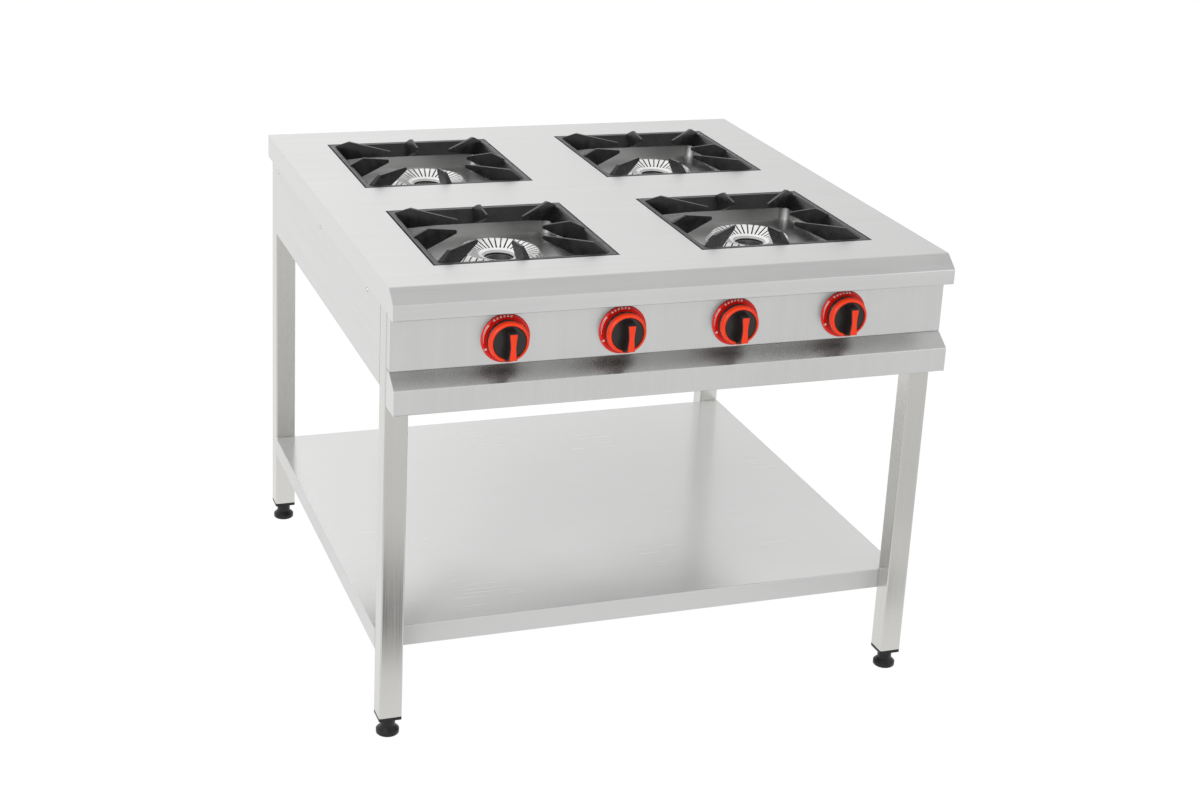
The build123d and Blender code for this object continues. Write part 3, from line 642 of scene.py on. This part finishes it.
def studio_world():
    """White background; the studio seen in the steel is bright low down and darker above."""
    world = bpy.data.worlds.new("studio")
    scene.world = world
    world.use_nodes = True
    tree = world.node_tree
    tree.nodes.clear()
    out = tree.nodes.new("ShaderNodeOutputWorld")
    seen = tree.nodes.new("ShaderNodeBackground")
    seen.inputs["Color"].default_value = (1, 1, 1, 1)
    lit = tree.nodes.new("ShaderNodeBackground")
    coords = tree.nodes.new("ShaderNodeTexCoord")
    split = tree.nodes.new("ShaderNodeSeparateXYZ")
    tree.links.new(coords.outputs["Generated"], split.inputs[0])
    ramp = tree.nodes.new("ShaderNodeValToRGB")
    ramp.color_ramp.interpolation = "EASE"
    ramp.color_ramp.elements[0].position = DARKENS_FROM
    ramp.color_ramp.elements[0].color = (NEAR_HORIZON,) * 3 + (1,)
    ramp.color_ramp.elements[1].position = DARKENS_TO
    ramp.color_ramp.elements[1].color = (OVERHEAD,) * 3 + (1,)
    tree.links.new(split.outputs[2], ramp.inputs[0])
    tree.links.new(ramp.outputs[0], lit.inputs["Color"])
    fall = tree.nodes.new("ShaderNodeMapRange")
    set_range(fall, BACKDROP_FALL)
    tree.links.new(split.outputs[0], fall.inputs["Value"])
    front = tree.nodes.new("ShaderNodeMapRange")
    set_range(front, FRONT_FALL)
    tree.links.new(split.outputs[1], front.inputs["Value"])
    both = tree.nodes.new("ShaderNodeMath")
    both.operation = "MULTIPLY"
    tree.links.new(fall.outputs[0], both.inputs[0])
    tree.links.new(front.outputs[0], both.inputs[1])
    tree.links.new(both.outputs[0], lit.inputs["Strength"])
    path = tree.nodes.new("ShaderNodeLightPath")
    mix = tree.nodes.new("ShaderNodeMixShader")
    tree.links.new(path.outputs["Is Camera Ray"], mix.inputs[0])
    tree.links.new(lit.outputs[0], mix.inputs[1])
    tree.links.new(seen.outputs[0], mix.inputs[2])
    tree.links.new(mix.outputs[0], out.inputs[0])


# The glow's share of the floor's look, and its strength to the camera.
FLOOR_GLOW, CAMERA_FLOOR = 0.95, 1.035
# The glow that the steel mirrors is dimmer in front: its strengths, and their places in y.
FRONT_FLOOR, REAR_FLOOR = 0.80, 1.0
FRONT_Y, REAR_Y = -1.2, -0.2
# Painted reflections: darker patches of the studio floor, seen only in the steel: middle, reach
# and shade.
FLOOR_SHADES = [((-0.40, -0.95), (0.22, 0.3), 0.15), ((0.55, -0.80), (0.2, 0.14), 0.35),
                ((1.0, -1.35), (0.55, 0.7), 0.9)]
# Share of a patch's reach that has its full shade.
PATCH_CORE = 0.2
FLOOR_REACH = 30.0


def studio_floor():
    """Pale floor, white to the camera with a soft shadow; the steel mirrors it with painted
    patches of shade.
    """
    bm = bmesh.new()
    bmesh.ops.create_grid(bm, x_segments=2, y_segments=2, size=FLOOR_REACH)
    mesh = bpy.data.meshes.new("floor")
    bm.to_mesh(mesh)
    bm.free()
    floor = bpy.data.objects.new("floor", mesh)
    scene.collection.objects.link(floor)
    f = Shader("floor_paint")
    f.set(colour=(0.8, 0.8, 0.8), rough=0.8, specular=0.1)
    f.rough(f.spread(f.noise(6.0, 2.0), 0.75, 0.85))
    white = f.add("ShaderNodeEmission")
    place = f.add("ShaderNodeSeparateXYZ")
    f.link(f.coords, place.inputs[0])
    mirrored = f.spread(place.outputs[1], FRONT_FLOOR, REAR_FLOOR, FRONT_Y, REAR_Y)
    # Painted reflection: each patch darkens the floor only where the steel mirrors it.
    for middle, reach, shade in FLOOR_SHADES:
        away = f.add("ShaderNodeMapping", vector_type="TEXTURE")
        away.inputs["Location"].default_value = (*middle, 0.0)
        away.inputs["Scale"].default_value = (*reach, 1.0)
        f.link(f.coords, away.inputs["Vector"])
        length = f.add("ShaderNodeVectorMath", operation="LENGTH")
        f.link(away.outputs[0], length.inputs[0])
        soft = f.add("ShaderNodeMapRange", interpolation_type="SMOOTHSTEP")
        set_range(soft, (PATCH_CORE, 1.0, shade, 1.0))
        f.link(length.outputs["Value"], soft.inputs["Value"])
        mirrored = f.math("MULTIPLY", mirrored, soft.outputs[0])
    share = f.add("ShaderNodeMixShader")
    share.inputs[0].default_value = FLOOR_GLOW
    f.link(f.body.outputs[0], share.inputs[1])
    f.link(white.outputs[0], share.inputs[2])
    path = f.add("ShaderNodeLightPath")
    bright = f.math("MULTIPLY", path.outputs["Is Camera Ray"], CAMERA_FLOOR)
    f.link(f.math("MAXIMUM", mirrored, bright), white.inputs["Strength"])
    seen = f.math("MAXIMUM", path.outputs["Is Camera Ray"], path.outputs["Is Glossy Ray"])
    seen = f.math("MAXIMUM", seen, path.outputs["Is Transmission Ray"])
    choice = f.add("ShaderNodeMixShader")
    f.link(seen, choice.inputs[0])
    f.link(f.body.outputs[0], choice.inputs[1])
    f.link(share.outputs[0], choice.inputs[2])
    f.link(choice.outputs[0], f.out.inputs["Surface"])
    mesh.materials.append(f.material)


studio_world()
studio_floor()
